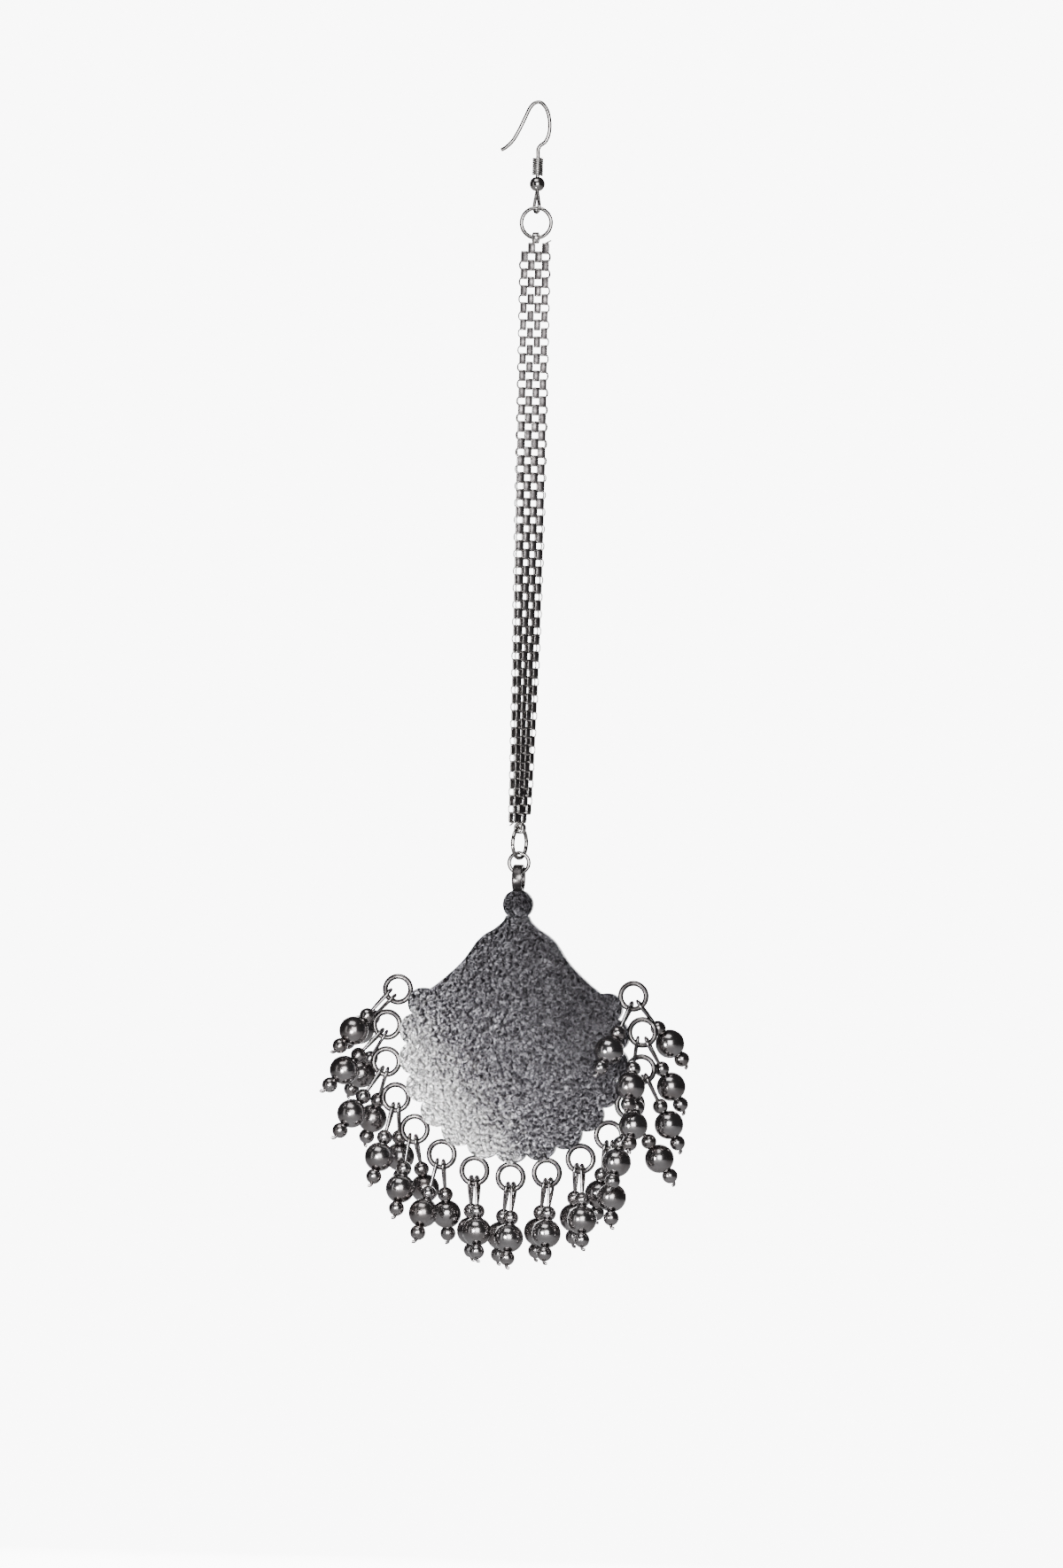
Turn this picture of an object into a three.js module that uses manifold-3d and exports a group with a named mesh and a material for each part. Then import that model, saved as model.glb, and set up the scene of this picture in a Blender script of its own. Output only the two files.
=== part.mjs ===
// Maang tikka: a scalloped pendant with bead drops, hung on a woven mesh chain from a wire hook.
// Millimetres, +Z up. The origin is the inside top of the hook's bend, where the ornament hangs.
// The plate's plain back faces -Y and its bordered front faces +Y.

import * as THREE from 'three';
import { mergeVertices } from 'three/addons/utils/BufferGeometryUtils.js';
import Module from 'manifold-3d';

const wasm = await Module();
wasm.setup();

const DEG = Math.PI / 180;

// Clearance between wires that hang in each other
const HANG_GAP = 0.22;

// Ear hook: round wire bent in the XZ plane, with an eye below the ball
const HOOK = { wire: 0.7, reachLeft: 6.65, reachRight: 1.95, drop: 7.5 };
const HOOK_EYE = { wire: 0.6, outerWidth: 2.7, turnDeg: 35, drop: 4.2, root: 0.55 };

// The hook's route as shares of its reaches and its drop, from the free tip to the shank
const HOOK_ROUTE = [
  { side: -1.0, down: 1.14 },
  { side: -0.87, down: 1.07 },
  { side: -0.7, down: 0.92 },
  { side: -0.55, down: 0.7 },
  { side: -0.37, down: 0.36 },
  { side: -0.24, down: 0.12 },
  { side: -0.12, down: 0.015 },
  { side: 0.08, down: 0.0 },
  { side: 0.6, down: 0.13 },
  { side: 0.9, down: 0.33 },
  { side: 1.0, down: 0.56 },
  { side: 0.92, down: 0.76 },
  { side: 0.62, down: 0.93 },
  { side: 0.18, down: 1.02 },
  { side: 0.0, down: 1.1 },
];

const COIL = { outerDiameter: 2.0, bore: 1.2, length: 3.35, turns: 8, shank: 1.4 };
const BALL = { diameter: 2.7, bore: 1.2 };

const TOP_RING = { outerDiameter: 6.0, wire: 0.7 };
const LOWER_LINK = { outerDiameter: 6.0, wire: 0.7, turnDeg: 73 };
const LOWER_RING = { outerDiameter: 4.2, wire: 0.7 };

// Woven band: a flat chain of many rows that turns about its own length
const CHAIN = { length: 103, width: 5.1, thickness: 1.4, rows: 34, waist: 0.86, turnDeg: 65, flat: 0.62 };
const CHAIN_END = { strap: 0.45, width: 1.1 };

// How far the band's middle strays sideways, at shares of its length from its top
const CHAIN_SWAY = [
  { along: 0.0, side: 0.0 },
  { along: 0.18, side: 0.05 },
  { along: 0.5, side: 0.3 },
  { along: 0.8, side: 0.15 },
  { along: 1.0, side: 0.0 },
];

// Plate: a scalloped lower edge round one centre, with shoulders, a neck and a disc above it
const PLATE = {
  thickness: 1.2,
  borderHeight: 0.8,
  borderWidth: 0.9,
  cuspRadius: 19.1,
  lobeRise: 1.6,
  shoulderHalfWidth: 15.4,
  shelfRise: 9.6,
  neckBite: 0.65,
};
const DISC = { diameter: 5.3, rise: 25.0 };

// Shoulder line as shares of its half width and of the rise from the shelf to the neck
const SHOULDER = [
  { out: 1.0, up: 0.0 },
  { out: 0.843, up: 0.142 },
  { out: 0.64, up: 0.362 },
  { out: 0.56, up: 0.478 },
  { out: 0.47, up: 0.634 },
  { out: 0.38, up: 0.74 },
  { out: 0.255, up: 0.83 },
  { out: 0.157, up: 0.933 },
  { out: 0.128, up: 1.0 },
];

// Rim rings, one soldered to each lobe's tip, and the bail on the disc
const RIM = { count: 15, pitchDeg: 16.3, bite: 0.35, outerDiameter: 5.5, wire: 0.95 };
const BAIL = { width: 1.7, outerDiameter: 4.9, wall: 0.6, crown: 1.5, solder: 0.45 };

// Bead drop: a wire eye, a small, a large and a small bead, and a flattened wire end
const DROP = {
  wire: 0.6,
  smallBead: 2.74,
  largeBead: 5.14,
  beadPitch: 3.75,
  eyeLength: 5.3,
  waist: 0.55,
  endLength: 0.7,
  eyeRoom: 0.43,
  eyeRoot: 0.45,
};

// How each pair of drops hangs in the photo, in degrees and to the right where positive. The seat
// is the place of the eye on its rim ring, from the ring's bottom, and the lean is from plumb.
// A tilt is given where the front drop stands further out than the others.
const HANG = [
  { seat: -65, lean: -35, seatBack: -35, leanBack: -50 },
  { seat: -40, lean: -40, seatBack: -15, leanBack: -30 },
  { seat: -30, lean: -30, seatBack: 0, leanBack: -20 },
  { seat: -15, lean: -10, seatBack: 15, leanBack: 0 },
  { seat: -25, lean: -5, seatBack: 10, leanBack: 10 },
  { seat: -25, lean: -10, seatBack: 10, leanBack: 5 },
  { seat: 15, lean: 5, seatBack: -15, leanBack: -10 },
  { seat: 15, lean: 0, seatBack: -15, leanBack: -10 },
  { seat: 20, lean: 0, seatBack: -10, leanBack: -10 },
  { seat: 10, lean: 5, seatBack: -20, leanBack: -5 },
  { seat: 20, lean: 5, seatBack: -15, leanBack: -10 },
  { seat: -15, lean: -10, seatBack: 20, leanBack: 30 },
  { seat: 5, lean: -10, seatBack: 35, leanBack: 25 },
  { seat: -25, lean: 0, tilt: 35, seatBack: 30, leanBack: 25 },
  { seat: -15, lean: -20, tilt: 30, seatBack: 40, leanBack: 30 },
];

// The drops' tilt out of the plate's plane, and how they settle clear of each other
const TILT = { front: 22, back: 22 };
const SETTLE = { rounds: 600, free: 300, ease: 0.02, gap: 0.2, reach: 4 };

// Balls that stand for a drop's flat eye while it settles, as shares of its length and its wire
const EYE_BALLS = [
  { along: 0.3, size: 1.2 },
  { along: 0.55, size: 0.9 },
];

// Facet counts of the round forms
const SIDES = { wire: 6, thinWire: 5, bead: 10, drum: 16, ring: 12, rimRing: 10 };
const STEPS = { hook: 24, hookEye: 9, dropEye: 5 };

// Latitudes of a bead's facet rows, in degrees from its equator
const ROWS = { small: [24, -24], large: [34, 0, -34], ball: [-40, -15, 15, 40] };

// Points of one lobe of the plate's edge, as shares of its half width, and how round it is
const LOBE = { shares: [-1, -0.6, 0, 0.6], bluntShare: 0.92 };

// Heights that follow from the sizes above
const midRadius = (ring) => (ring.outerDiameter - ring.wire) / 2;
const bendZ = HOOK.wire / 2;
const coilTopZ = bendZ - HOOK.drop * HOOK_ROUTE.at(-1).down - COIL.shank;
const boreHalf = Math.sqrt((BALL.diameter / 2) ** 2 - (BALL.bore / 2) ** 2);
const ballZ = coilTopZ - COIL.length - HANG_GAP - boreHalf;
const eyeTopZ = ballZ - boreHalf - HOOK.wire / 2;
const hookEyeRadius = (HOOK_EYE.outerWidth - HOOK_EYE.wire) / 2;
const topRingZ = ballZ - HOOK_EYE.drop - midRadius(TOP_RING);
const topRingTopZ = topRingZ + midRadius(TOP_RING);
const hookEyeZ = topRingTopZ - (TOP_RING.wire + HOOK_EYE.wire) / 2 - HANG_GAP + hookEyeRadius;
const chainTopWireZ = topRingZ - midRadius(TOP_RING);
const chainTopZ = chainTopWireZ - TOP_RING.wire / 2 - HANG_GAP;
const chainBottomZ = chainTopZ - CHAIN.length;
const linkTopWireZ = chainBottomZ - HANG_GAP - LOWER_LINK.wire / 2;
const linkZ = linkTopWireZ - midRadius(LOWER_LINK);
const linkBottomWireZ = linkZ - midRadius(LOWER_LINK);
const lowerRingTopZ = linkBottomWireZ + (LOWER_LINK.wire + LOWER_RING.wire) / 2 + HANG_GAP;
const lowerRingZ = lowerRingTopZ - midRadius(LOWER_RING);
const swingZ = lowerRingZ - midRadius(LOWER_RING);
const bailZ = swingZ + BAIL.crown - BAIL.outerDiameter / 2;
const discZ = bailZ - BAIL.outerDiameter / 2 + BAIL.solder - DISC.diameter / 2;
const scallopZ = discZ - DISC.rise;
const neckRise = DISC.rise - DISC.diameter / 2 + PLATE.neckBite;
const lobeRadius = PLATE.cuspRadius + PLATE.lobeRise;
const rimRadius = lobeRadius - RIM.bite + RIM.outerDiameter / 2;

const finish = {
  brightSilver: { color: 0xb9b5b2, roughness: 0.22, metalness: 1.0 },
  oxidisedSilver: { color: 0x4a4849, roughness: 0.42, metalness: 0.9 },
  beadSilver: { color: 0x77767a, roughness: 0.25, metalness: 1.0 },
  chainSilver: { color: 0x8d8987, roughness: 0.34, metalness: 1.0 },
};

// A closed geometry as a solid that can be joined and cut
function solidOf(geometry) {
  const bare = geometry.clone();
  bare.deleteAttribute('normal');
  bare.deleteAttribute('uv');
  const merged = mergeVertices(bare, 1e-4);
  const index = merged.index.array;
  const triVerts = [];
  for (let i = 0; i < index.length; i += 3) {
    const [a, b, c] = [index[i], index[i + 1], index[i + 2]];
    if (a !== b && b !== c && c !== a) triVerts.push(a, b, c);
  }
  const vertProperties = new Float32Array(merged.attributes.position.array);
  const mesh = new wasm.Mesh({ numProp: 3, vertProperties, triVerts: new Uint32Array(triVerts) });
  return new wasm.Manifold(mesh);
}

function geometryOf(solid) {
  const { vertProperties, triVerts } = solid.getMesh();
  const geometry = new THREE.BufferGeometry();
  geometry.setAttribute('position', new THREE.BufferAttribute(new Float32Array(vertProperties), 3));
  geometry.setIndex(new THREE.BufferAttribute(new Uint32Array(triVerts), 1));
  geometry.computeVertexNormals();
  return geometry;
}

function fused(solids) {
  return geometryOf(solids.reduce((whole, part) => whole.add(part)));
}

function named(name, geometry, look) {
  const mesh = new THREE.Mesh(geometry, new THREE.MeshStandardMaterial(look));
  mesh.name = name;
  return mesh;
}

// A round wire along a curve, closed at both ends
function wireAlong(curve, diameter, steps, sides) {
  const section = new THREE.Shape();
  for (let i = 0; i < sides; i += 1) {
    const angle = (i / sides) * 2 * Math.PI;
    const x = (diameter / 2) * Math.cos(angle);
    const y = (diameter / 2) * Math.sin(angle);
    if (i === 0) section.moveTo(x, y);
    else section.lineTo(x, y);
  }
  section.closePath();
  return new THREE.ExtrudeGeometry(section, { steps, bevelEnabled: false, extrudePath: curve });
}

// A ring of round wire standing in the XZ plane
function wireRing(size, segments, sides) {
  const ring = new THREE.TorusGeometry(midRadius(size), size.wire / 2, sides, segments);
  return ring.rotateX(90 * DEG);
}

// A profile of radius and height pairs, turned about the vertical axis
function turned(profile, sides) {
  const points = profile.map(([radius, height]) => new THREE.Vector2(radius, height));
  return new THREE.LatheGeometry(points, sides).rotateX(90 * DEG);
}

// A teardrop eye of wire in the YZ plane: round about its centre, drawn out to a point.
// One half runs on past the crown, is cut off at y = 0 and is mirrored there.
function eyeSolid(radius, tipZ, wire, steps) {
  const side = Math.sign(tipZ);
  const leg = [
    { across: 0.0, along: 1.0 },
    { across: 0.42, along: 0.62 },
    { across: 0.86, along: 0.22 },
  ];
  const route = leg.map(({ across, along }) => new THREE.Vector3(0, across * radius, along * tipZ));
  for (const angle of [10, 50, 90, 130]) {
    const y = radius * Math.cos(angle * DEG);
    const z = -side * radius * Math.sin(angle * DEG);
    route.push(new THREE.Vector3(0, y, z));
  }
  const curve = new THREE.CatmullRomCurve3(route, false, 'centripetal');
  const half = solidOf(wireAlong(curve, wire, steps, SIDES.thinWire)).trimByPlane([0, 1, 0], 0);
  return half.add(half.mirror([0, 1, 0]));
}

function buildHook() {
  const reach = (side) => side * (side < 0 ? HOOK.reachLeft : HOOK.reachRight);
  const route = HOOK_ROUTE.map(
    ({ side, down }) => new THREE.Vector3(reach(side), 0, bendZ - down * HOOK.drop),
  );
  route.push(new THREE.Vector3(0, 0, coilTopZ));
  route.push(new THREE.Vector3(0, 0, eyeTopZ));
  const hook = wireAlong(new THREE.CatmullRomCurve3(route), HOOK.wire, STEPS.hook, SIDES.wire);
  const tip = eyeTopZ + HOOK_EYE.root - hookEyeZ;
  const eye = eyeSolid(hookEyeRadius, tip, HOOK_EYE.wire, STEPS.hookEye)
    .rotate([0, 0, HOOK_EYE.turnDeg])
    .translate([0, 0, hookEyeZ]);
  return named('ear_hook', fused([solidOf(hook), eye]), finish.brightSilver);
}

function buildCoil() {
  const outer = COIL.outerDiameter / 2;
  const groove = outer - COIL.length / COIL.turns / 3;
  const pitch = COIL.length / COIL.turns;
  const profile = [[COIL.bore / 2, 0]];
  for (let turn = 0; turn < COIL.turns; turn += 1) {
    profile.push([groove, turn * pitch]);
    profile.push([outer, (turn + 0.5) * pitch]);
  }
  profile.push([groove, COIL.length]);
  profile.push([COIL.bore / 2, COIL.length]);
  profile.push([COIL.bore / 2, 0]);
  const mesh = named('hook_coil', turned(profile, SIDES.bead), finish.brightSilver);
  mesh.position.z = coilTopZ - COIL.length;
  return mesh;
}

function buildBall() {
  const profile = [[BALL.bore / 2, -boreHalf]];
  for (const angle of ROWS.ball) {
    const radius = BALL.diameter / 2;
    profile.push([radius * Math.cos(angle * DEG), radius * Math.sin(angle * DEG)]);
  }
  profile.push([BALL.bore / 2, boreHalf]);
  profile.push([BALL.bore / 2, -boreHalf]);
  const mesh = named('hook_ball', turned(profile, SIDES.bead), finish.brightSilver);
  mesh.position.z = ballZ;
  return mesh;
}

function buildRing(name, size, z, look) {
  const mesh = named(name, wireRing(size, SIDES.ring, SIDES.wire), look);
  mesh.rotation.z = (size.turnDeg ?? 0) * DEG;
  mesh.position.z = z;
  return mesh;
}

// The loop of strap at each end of the band, round the wire that it hangs on or carries
function chainEnd(wire, wireZ, turnDeg) {
  const inner = wire / 2 + HANG_GAP;
  const strap = new THREE.TorusGeometry(
    inner + CHAIN_END.strap / 2,
    CHAIN_END.strap / 2,
    SIDES.thinWire,
    SIDES.ring,
  );
  strap.scale(1, 1, CHAIN_END.width / CHAIN_END.strap);
  strap.rotateY(90 * DEG);
  strap.rotateZ(turnDeg * DEG);
  return strap.translate(0, 0, wireZ);
}

function buildChain() {
  const halfWidth = CHAIN.width / 2;
  const halfThick = CHAIN.thickness / 2;
  const flat = halfWidth * CHAIN.flat;
  const section = new THREE.Shape([
    new THREE.Vector2(halfWidth, 0),
    new THREE.Vector2(flat, halfThick),
    new THREE.Vector2(-flat, halfThick),
    new THREE.Vector2(-halfWidth, 0),
    new THREE.Vector2(-flat, -halfThick),
    new THREE.Vector2(flat, -halfThick),
  ]);
  const steps = CHAIN.rows * 2;
  const band = new THREE.ExtrudeGeometry(section, {
    depth: CHAIN.length,
    steps,
    bevelEnabled: false,
  });
  const sway = new THREE.SplineCurve(
    CHAIN_SWAY.map(({ along, side }) => new THREE.Vector2(along, side)),
  );
  const position = band.attributes.position;
  for (let i = 0; i < position.count; i += 1) {
    const z = position.getZ(i);
    const along = 1 - z / CHAIN.length;
    const step = Math.round((1 - along) * steps);
    const width = step % 2 === 0 ? CHAIN.waist : 1;
    const turn = CHAIN.turnDeg * DEG * along;
    const x = position.getX(i) * width;
    const y = position.getY(i);
    const side = sway.getPoint(along).y;
    position.setXYZ(
      i,
      x * Math.cos(turn) - y * Math.sin(turn) + side,
      x * Math.sin(turn) + y * Math.cos(turn),
      z + chainBottomZ,
    );
  }
  const top = chainEnd(TOP_RING.wire, chainTopWireZ, 0);
  const bottom = chainEnd(LOWER_LINK.wire, linkTopWireZ, CHAIN.turnDeg);
  return named('mesh_chain', fused([band, top, bottom].map(solidOf)), finish.chainSilver);
}

// A point of the scallop at an angle from straight down, with inset for the border's inner edge
function scallopPoint(lobe, share, inset) {
  const angle = (lobe + share / 2) * RIM.pitchDeg * DEG;
  const last = (RIM.count - 1) / 2;
  const beyond = Math.abs(lobe) === last && share * lobe > 0;
  const shelf = Math.hypot(PLATE.shoulderHalfWidth, PLATE.shelfRise);
  const foot = beyond ? shelf : PLATE.cuspRadius;
  const lowest = Math.sqrt(1 - LOBE.bluntShare ** 2);
  const bulge = (Math.sqrt(1 - (LOBE.bluntShare * share) ** 2) - lowest) / (1 - lowest);
  const radius = foot + (lobeRadius - foot) * bulge - inset;
  return new THREE.Vector2(radius * Math.sin(angle), -radius * Math.cos(angle));
}

function scallop(inset) {
  const last = (RIM.count - 1) / 2;
  const points = [];
  for (let lobe = -last; lobe <= last; lobe += 1) {
    for (const share of LOBE.shares) points.push(scallopPoint(lobe, share, inset));
  }
  points.push(scallopPoint(last, 1, inset));
  return points;
}

// The right shoulder from the shelf up to the neck, drawn in by the inset
function shoulder(inset) {
  const rise = neckRise - PLATE.shelfRise;
  const line = SHOULDER.map(
    ({ out, up }) => new THREE.Vector2(out * PLATE.shoulderHalfWidth, PLATE.shelfRise + up * rise),
  );
  const inner = line.slice(1).map((point, i) => {
    const after = line[Math.min(i + 2, line.length - 1)];
    const along = after.clone().sub(line[i]).normalize();
    return new THREE.Vector2(point.x - inset * along.y, point.y + inset * along.x);
  });
  return inner.filter((point) => point.x > inset / 2);
}

function mirrored(points) {
  return points.map((point) => new THREE.Vector2(-point.x, point.y)).reverse();
}

// A flat shape of the plate as a slab between two depths
function slab(points, backY, frontY) {
  const depth = frontY - backY;
  const plate = new THREE.ExtrudeGeometry(new THREE.Shape(points), { depth, bevelEnabled: false });
  return plate.rotateX(90 * DEG).translate(0, frontY, 0);
}

function round(radius, z, sides, backY, frontY) {
  const drum = new THREE.CylinderGeometry(radius, radius, frontY - backY, sides);
  return drum.translate(0, (frontY + backY) / 2, z);
}

function buildBail() {
  const outer = BAIL.outerDiameter / 2;
  const inner = outer - BAIL.wall;
  const half = BAIL.width / 2;
  const profile = [[inner, -half], [outer, -half], [outer, half], [inner, half], [inner, -half]];
  const strap = turned(profile, SIDES.ring).rotateY(90 * DEG);
  return strap.translate(0, 0, bailZ - scallopZ);
}

function buildPlate() {
  const back = -PLATE.thickness / 2;
  const floor = PLATE.thickness / 2;
  const front = floor + PLATE.borderHeight;
  const inset = PLATE.borderWidth;
  const right = shoulder(0);
  const outline = [...scallop(0), ...right, ...mirrored(right)];
  const innerRight = shoulder(inset);
  const pocketLine = [...scallop(inset), ...innerRight, ...mirrored(innerRight)];
  const discRadius = DISC.diameter / 2;
  let plate = solidOf(slab(outline, back, front));
  plate = plate.add(solidOf(round(discRadius, DISC.rise, SIDES.drum, back, front)));
  plate = plate.subtract(solidOf(slab(pocketLine, floor, front + inset)));
  const well = round(discRadius - inset, DISC.rise, SIDES.bead, floor, front + inset);
  plate = plate.subtract(solidOf(well));
  plate = plate.add(solidOf(buildBail()));
  const last = (RIM.count - 1) / 2;
  for (let i = -last; i <= last; i += 1) {
    const angle = i * RIM.pitchDeg * DEG;
    const ring = wireRing(RIM, SIDES.rimRing, SIDES.thinWire).rotateY(-angle);
    ring.translate(rimRadius * Math.sin(angle), 0, -rimRadius * Math.cos(angle));
    plate = plate.add(solidOf(ring));
  }
  const mesh = named('pendant_plate', geometryOf(plate), finish.oxidisedSilver);
  mesh.position.z = scallopZ;
  return mesh;
}

// A bead's profile rows at angles above its equator, down to its lower waist
function beadProfile(radius, centre, angles) {
  const rows = [];
  for (const angle of angles) {
    rows.push([radius * Math.cos(angle * DEG), centre + radius * Math.sin(angle * DEG)]);
  }
  rows.push([DROP.waist, centre - Math.sqrt(radius ** 2 - DROP.waist ** 2)]);
  return rows;
}

function dropGeometry() {
  const small = DROP.smallBead / 2;
  const large = DROP.largeBead / 2;
  const first = -DROP.eyeLength;
  const middle = first - DROP.beadPitch;
  const last = middle - DROP.beadPitch;
  const top = first + Math.sqrt(small ** 2 - DROP.waist ** 2);
  const foot = last - small - DROP.endLength;
  const profile = [
    [0, top],
    [DROP.waist, top],
    ...beadProfile(small, first, ROWS.small),
    ...beadProfile(large, middle, ROWS.large),
    ...beadProfile(small, last, ROWS.small),
    [DROP.waist, foot],
    [0, foot],
  ].reverse();
  const beads = turned(profile, SIDES.bead);
  const radius = (RIM.wire + DROP.wire) / 2 + DROP.eyeRoom;
  const eye = eyeSolid(radius, top - DROP.eyeRoot, DROP.wire, STEPS.dropEye);
  return fused([solidOf(beads), eye]);
}

// All the balls that stand for a drop, at their distances below its eye
function dropBalls() {
  const last = DROP.eyeLength + 2 * DROP.beadPitch;
  const onEye = EYE_BALLS.map(({ along, size }) => ({
    at: DROP.eyeLength * along,
    radius: DROP.wire * size,
  }));
  return [
    ...onEye,
    { at: DROP.eyeLength, radius: DROP.smallBead / 2 },
    { at: DROP.eyeLength + DROP.beadPitch, radius: DROP.largeBead / 2 },
    { at: last, radius: DROP.smallBead / 2 },
    { at: last + DROP.smallBead / 2 + DROP.endLength, radius: DROP.waist },
  ];
}

// The way down a drop that leans to the right and tilts out of the plate's plane
function wayDown(leanDeg, tiltDeg) {
  const lean = leanDeg * DEG;
  const tilt = tiltDeg * DEG;
  const flat = Math.cos(tilt);
  return new THREE.Vector3(Math.sin(lean) * flat, -Math.sin(tilt), -Math.cos(lean) * flat);
}

function rimCentre(ringIndex) {
  const angle = ringIndex * RIM.pitchDeg * DEG;
  return new THREE.Vector3(rimRadius * Math.sin(angle), 0, -rimRadius * Math.cos(angle));
}

function looseDrop(name, ringIndex, seatDeg, leanDeg, tiltDeg) {
  const seat = seatDeg * DEG;
  const toSeat = new THREE.Vector3(Math.sin(seat), 0, -Math.cos(seat));
  const eye = rimCentre(ringIndex).addScaledVector(toSeat, midRadius(RIM));
  const wish = wayDown(leanDeg, tiltDeg);
  return { name, ringIndex, seat, eye, wish, line: wish.clone() };
}

function ballPlace(drop, ball) {
  return drop.eye.clone().addScaledVector(drop.line, ball.at);
}

// Turns a drop about its eye, so that a ball on it moves by the step
function nudge(drop, ball, step, share) {
  drop.line.addScaledVector(step, share / ball.at).normalize();
}

// The step that a ball lacks to stand clear of a thing of the given radius round a point
function lack(place, ball, point, radius) {
  const away = place.clone().sub(point);
  const short = ball.radius + radius + SETTLE.gap - away.length();
  return short > 0 ? away.setLength(short) : null;
}

function nearestOnRing(place, ringIndex) {
  const centre = rimCentre(ringIndex);
  const away = place.clone().sub(centre).setY(0);
  return centre.add(away.setLength(midRadius(RIM)));
}

function nearestOnPlate(place) {
  const back = -PLATE.thickness / 2;
  const front = PLATE.thickness / 2 + PLATE.borderHeight;
  const edge = PLATE.cuspRadius + PLATE.lobeRise / 2;
  const flat = new THREE.Vector3(place.x, 0, place.z).clampLength(0, edge);
  return flat.setY(THREE.MathUtils.clamp(place.y, back, front));
}

function clearPair(one, other, balls) {
  for (const ball of balls) {
    for (const against of balls) {
      const place = ballPlace(one, ball);
      const step = lack(place, ball, ballPlace(other, against), against.radius);
      if (step) {
        nudge(one, ball, step, 0.5);
        nudge(other, against, step, -0.5);
      }
    }
  }
}

function clearFixed(drop, balls) {
  const last = (RIM.count - 1) / 2;
  for (const ball of balls) {
    const plateStep = lack(ballPlace(drop, ball), ball, nearestOnPlate(ballPlace(drop, ball)), 0);
    if (plateStep) nudge(drop, ball, plateStep, 1);
    for (let ring = -last; ring <= last; ring += 1) {
      const near = Math.abs(ring - drop.ringIndex) <= SETTLE.reach;
      const ownEye = ring === drop.ringIndex && ball.at < DROP.eyeLength;
      if (near && !ownEye) {
        const place = ballPlace(drop, ball);
        const step = lack(place, ball, nearestOnRing(place, ring), RIM.wire / 2);
        if (step) nudge(drop, ball, step, 1);
      }
    }
  }
}

// Lets the drops swing about their eyes until they hang clear of each other, rings and plate
function settle(drops) {
  const balls = dropBalls();
  for (let round = 0; round < SETTLE.rounds; round += 1) {
    drops.forEach((drop, i) => {
      if (round < SETTLE.free) drop.line.lerp(drop.wish, SETTLE.ease).normalize();
      for (const other of drops.slice(i + 1)) {
        const near = Math.abs(other.ringIndex - drop.ringIndex) <= SETTLE.reach;
        if (near) clearPair(drop, other, balls);
      }
      clearFixed(drop, balls);
    });
  }
}

// Places a drop's mesh on its eye, square to the ring's wire there
function placeDrop(mesh, drop) {
  const up = drop.line.clone().negate();
  const wire = new THREE.Vector3(Math.cos(drop.seat), 0, Math.sin(drop.seat));
  const across = wire.addScaledVector(up, -wire.dot(up)).normalize();
  const depth = new THREE.Vector3().crossVectors(up, across);
  mesh.quaternion.setFromRotationMatrix(new THREE.Matrix4().makeBasis(across, depth, up));
  mesh.position.copy(drop.eye).setZ(drop.eye.z + scallopZ);
}

function buildDrops() {
  const geometry = dropGeometry();
  const drops = [];
  HANG.forEach((pair, i) => {
    const ringIndex = i - (RIM.count - 1) / 2;
    const name = `drop_${String(i + 1).padStart(2, '0')}`;
    const tilt = pair.tilt ?? TILT.front;
    drops.push(looseDrop(`${name}_front`, ringIndex, pair.seat, pair.lean, tilt));
    drops.push(looseDrop(`${name}_back`, ringIndex, pair.seatBack, pair.leanBack, -TILT.back));
  });
  settle(drops);
  return drops.map((drop) => {
    const mesh = named(drop.name, geometry, finish.beadSilver);
    placeDrop(mesh, drop);
    return mesh;
  });
}

const tikka = new THREE.Group();
tikka.add(buildHook());
tikka.add(buildCoil());
tikka.add(buildBall());
tikka.add(buildRing('top_jump_ring', TOP_RING, topRingZ, finish.brightSilver));
tikka.add(buildChain());
tikka.add(buildRing('lower_link', LOWER_LINK, linkZ, finish.brightSilver));
tikka.add(buildRing('lower_ring', LOWER_RING, lowerRingZ, finish.brightSilver));
const pendant = new THREE.Group();
pendant.add(buildPlate());
pendant.add(...buildDrops());
tikka.add(pendant);

export default tikka;
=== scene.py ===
"""Dresses a packed maang tikka: wire hook, woven mesh chain, scalloped plate and bead drops."""

import math

import bpy
import numpy as np
from bpy.props import FloatProperty, FloatVectorProperty, IntProperty, PointerProperty
from mathutils import Matrix, Vector


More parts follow.
